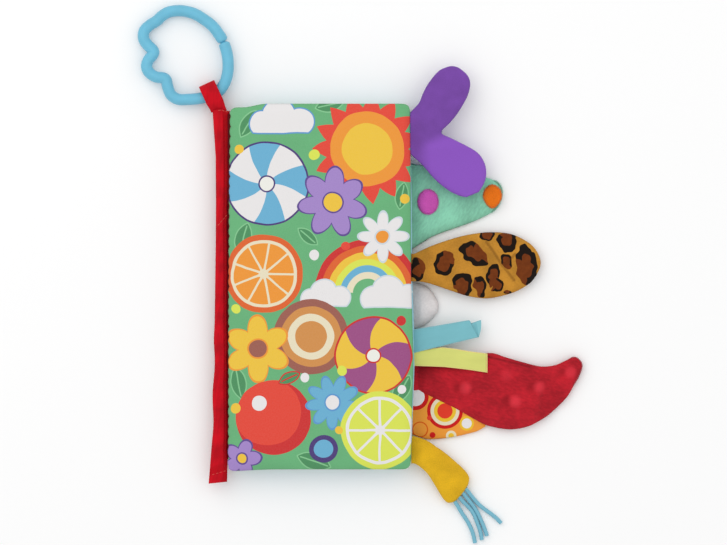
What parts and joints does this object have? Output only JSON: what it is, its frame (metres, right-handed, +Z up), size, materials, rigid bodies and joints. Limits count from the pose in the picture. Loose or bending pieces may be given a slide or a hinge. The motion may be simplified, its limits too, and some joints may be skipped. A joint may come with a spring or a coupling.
{
  "type": "crinkle cloth book",
  "caption": "Soft padded cloth book for babies with crinkling leaves that turn in a spine binding, animal-tail flaps and ribbons round the open edge, and a split ring on a strap",
  "frame": {"origin": "middle of the back cover's flat underside, on which the closed book lies", "axes": "+X from the spine to the open edge with the tails, +Y from the book's bottom edge to its top edge with the ring, +Z up through the closed leaves to the front cover"},
  "size_m": [0.2842, 0.3451, 0.0211],
  "materials": {
    "binding_tape": "woven red polyester tape",
    "printed_cloth": "brushed polyester with a print",
    "page_cloth": "brushed pale blue polyester",
    "wadding": "white polyester wadding",
    "crinkle_film": "crinkling plastic film",
    "ring_plastic": "glossy light blue plastic",
    "purple_felt": "purple felt",
    "leopard_plush": "short plush with leopard rosettes",
    "blue_ribbon": "light blue woven ribbon",
    "lime_ribbon": "lime woven ribbon",
    "yellow_velour": "yellow velour",
    "string_cord": "light blue round cord",
    "green_fleece": "green fleece",
    "magenta_pile": "magenta pile",
    "orange_pile": "orange pile",
    "white_plush": "white plush",
    "red_plush": "red dimpled plush",
    "orange_print": "orange cloth with a ring and dot print"
  },
  "bodies": {
    "spine_and_middle_leaf": {"spine_binding": "binding_tape", "front_cover_hinge_strip": "binding_tape", "middle_leaf_hinge_strip": "page_cloth", "back_cover_hinge_strip": "binding_tape", "middle_leaf_front_panel": "page_cloth", "middle_leaf_wadding": "wadding", "middle_leaf_crinkle_film": "crinkle_film", "middle_leaf_back_panel": "page_cloth"},
    "front_cover": {"front_cover_outer_panel": "printed_cloth", "front_cover_wadding": "wadding", "front_cover_crinkle_film": "crinkle_film", "front_cover_inner_panel": "page_cloth"},
    "back_cover": {"back_cover_inner_panel": "page_cloth", "back_cover_wadding": "wadding", "back_cover_crinkle_film": "crinkle_film", "back_cover_outer_panel": "printed_cloth"},
    "strap": {"ring_strap": "binding_tape"},
    "ring": {"link_ring": "ring_plastic"},
    "purple_tail": {"purple_felt_tail": "purple_felt"},
    "leopard_tail": {"leopard_tail_front_cloth": "leopard_plush", "leopard_tail_stuffing": "wadding", "leopard_tail_back_cloth": "leopard_plush"},
    "blue_ribbon": {"blue_ribbon_loop": "blue_ribbon"},
    "lime_ribbon": {"lime_ribbon_loop": "lime_ribbon"},
    "yellow_tail": {"yellow_velour_tail": "yellow_velour", "yellow_tail_string_1": "string_cord", "yellow_tail_string_2": "string_cord", "yellow_tail_string_3": "string_cord", "yellow_tail_string_4": "string_cord"},
    "green_tail": {"green_fleece_tail": "green_fleece", "magenta_spot": "magenta_pile", "orange_spot": "orange_pile"},
    "white_tail": {"white_tail_front_cloth": "white_plush", "white_tail_stuffing": "wadding", "white_tail_back_cloth": "white_plush"},
    "red_tail": {"red_tail_front_cloth": "red_plush", "red_tail_stuffing": "wadding", "red_tail_back_cloth": "red_plush"},
    "orange_tail": {"orange_print_tail": "orange_print"}
  },
  "joints": [
    {"name": "front_cover_hinge", "type": "hinge", "parent": "spine_and_middle_leaf", "child": "front_cover", "pos_m": [-0.0589, 0, 0.0176], "axis": [0, -1, 0], "range_deg": [0, 170]},
    {"name": "back_cover_hinge", "type": "hinge", "parent": "spine_and_middle_leaf", "child": "back_cover", "pos_m": [-0.0589, 0, 0.003], "axis": [0, -1, 0], "range_deg": [-170, 0]},
    {"name": "strap_fold", "type": "hinge", "parent": "spine_and_middle_leaf", "child": "strap", "pos_m": [-0.0649, 0.11375, 0.0103], "axis": [-0.9877, -0.1564, 0], "range_deg": [-30, 35]},
    {"name": "ring_swing", "type": "hinge", "parent": "strap", "child": "ring", "pos_m": [-0.06921, 0.12321, 0.007], "axis": [-0.91, -0.4147, 0], "range_deg": [-90, 110]},
    {"name": "purple_tail_flop", "type": "hinge", "parent": "front_cover", "child": "purple_tail", "pos_m": [0.059, 0.0989, 0.0176], "axis": [0, -1, 0], "range_deg": [0, 85]},
    {"name": "leopard_tail_flop", "type": "hinge", "parent": "spine_and_middle_leaf", "child": "leopard_tail", "pos_m": [0.061, 0.0122, 0.0103], "axis": [0, -1, 0], "range_deg": [0, 80]},
    {"name": "blue_ribbon_flop", "type": "hinge", "parent": "spine_and_middle_leaf", "child": "blue_ribbon", "pos_m": [0.061, -0.0348, 0.0103], "axis": [0, -1, 0], "range_deg": [0, 85]},
    {"name": "lime_ribbon_flop", "type": "hinge", "parent": "spine_and_middle_leaf", "child": "lime_ribbon", "pos_m": [0.061, -0.0469, 0.0103], "axis": [0, -1, 0], "range_deg": [0, 80]},
    {"name": "yellow_tail_flop", "type": "hinge", "parent": "spine_and_middle_leaf", "child": "yellow_tail", "pos_m": [0.061, -0.1048, 0.0103], "axis": [0, -1, 0], "range_deg": [0, 80]},
    {"name": "green_tail_flop", "type": "hinge", "parent": "back_cover", "child": "green_tail", "pos_m": [0.059, 0.0513, 0.003], "axis": [0, -1, 0], "range_deg": [-80, 0]},
    {"name": "white_tail_flop", "type": "hinge", "parent": "back_cover", "child": "white_tail", "pos_m": [0.059, -0.0124, 0.003], "axis": [0, -1, 0], "range_deg": [-80, 0]},
    {"name": "red_tail_flop", "type": "hinge", "parent": "back_cover", "child": "red_tail", "pos_m": [0.059, -0.0587, 0.003], "axis": [0, -1, 0], "range_deg": [-80, 0]},
    {"name": "orange_tail_flop", "type": "hinge", "parent": "back_cover", "child": "orange_tail", "pos_m": [0.059, -0.0817, 0.003], "axis": [0, -1, 0], "range_deg": [-80, 0]}
  ],
  "couplings": [
    {"joint": "orange_tail_flop", "follows": "red_tail_flop", "ratio": 1}
  ]
}
